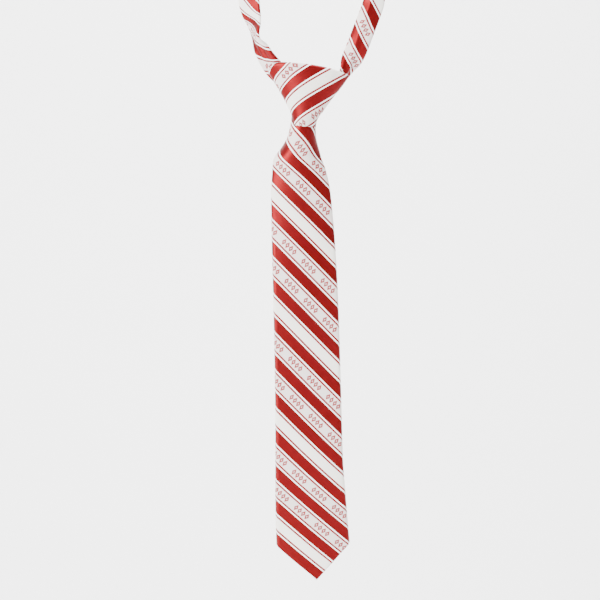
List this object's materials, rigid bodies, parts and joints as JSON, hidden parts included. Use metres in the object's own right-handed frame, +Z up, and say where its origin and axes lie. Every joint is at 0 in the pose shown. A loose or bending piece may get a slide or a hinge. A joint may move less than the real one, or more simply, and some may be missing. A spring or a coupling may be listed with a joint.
{
  "type": "necktie",
  "caption": "Slim necktie tied in a four-in-hand knot, with a neck loop to hang by, a striped blade that lifts, and a narrow end that slides through the knot.",
  "frame": {"origin": "inner top of the neck loop, where a hook, a hanger arm or the back of the neck carries the tie", "axes": "+Z up along the hanging tie, -Y to the front that people see, +X to the viewer's right"},
  "size_m": [0.132, 0.0262, 0.575],
  "materials": {
    "woven_cloth": "satin weave, striped red and cream",
    "interlining": "brushed matte",
    "tipping": "smooth lining",
    "thread": "thread",
    "tag_cloth": "woven tape"
  },
  "bodies": {
    "neck_loop": {"neck_band_back_shell": "woven_cloth", "neck_band_back_interlining": "interlining", "neck_band_left_shell": "woven_cloth", "neck_band_left_interlining": "interlining", "neck_band_right_shell": "woven_cloth", "neck_band_right_interlining": "interlining", "neck_band_join_seams": "thread", "neck_band_slip_stitches": "thread"},
    "knot": {"knot_front_wrap": "woven_cloth", "knot_back_wrap": "woven_cloth", "knot_front_interlining": "interlining", "knot_back_interlining": "interlining", "knot_under_wrap": "woven_cloth", "knot_riser": "woven_cloth", "knot_tunnel_pass": "woven_cloth", "knot_tail_core": "woven_cloth"},
    "front_blade": {"front_blade_shell": "woven_cloth", "front_blade_interlining": "interlining", "front_blade_tipping": "tipping", "front_blade_slip_stitches": "thread", "front_blade_bar_tack": "thread", "keeper_loop": "woven_cloth", "keeper_stitches": "thread", "maker_label": "tag_cloth", "label_stitches": "thread", "tail_throat_upper_shell": "woven_cloth", "tail_throat_upper_interlining": "interlining", "tail_throat_lower_shell": "woven_cloth", "tail_throat_lower_interlining": "interlining", "care_tag_stitches": "thread"},
    "tail": {"tail_shell": "woven_cloth", "tail_interlining": "interlining", "tail_tipping": "tipping", "tail_slip_stitches": "thread", "tail_bar_tack": "thread"},
    "care_tag": {"care_tag": "tag_cloth"}
  },
  "joints": [
    {"name": "knot_slide", "type": "slide", "parent": "neck_loop", "child": "knot", "axis": [0, 0, 1], "range_m": [-0.018, 0.025], "deforming": ["neck_band_left_shell", "neck_band_left_interlining", "neck_band_right_shell", "neck_band_right_interlining"]},
    {"name": "front_blade_lift", "type": "hinge", "parent": "knot", "child": "front_blade", "pos_m": [-0.0066, 0.00087, -0.1825], "axis": [-1, 0, 0], "range_deg": [-25, 90]},
    {"name": "tail_slide", "type": "slide", "parent": "front_blade", "child": "tail", "axis": [0.0314, 0, -0.9995], "range_m": [-0.036, 0.05], "deforming": ["tail_throat_lower_shell", "tail_throat_lower_interlining"]},
    {"name": "care_tag_flip", "type": "hinge", "parent": "front_blade", "child": "care_tag", "pos_m": [-0.00006, 0.0026, -0.49504], "axis": [1, 0, 0], "range_deg": [0, 120]}
  ],
  "couplings": [
    {"joint": "tail_slide", "follows": "knot_slide", "ratio": 2}
  ]
}
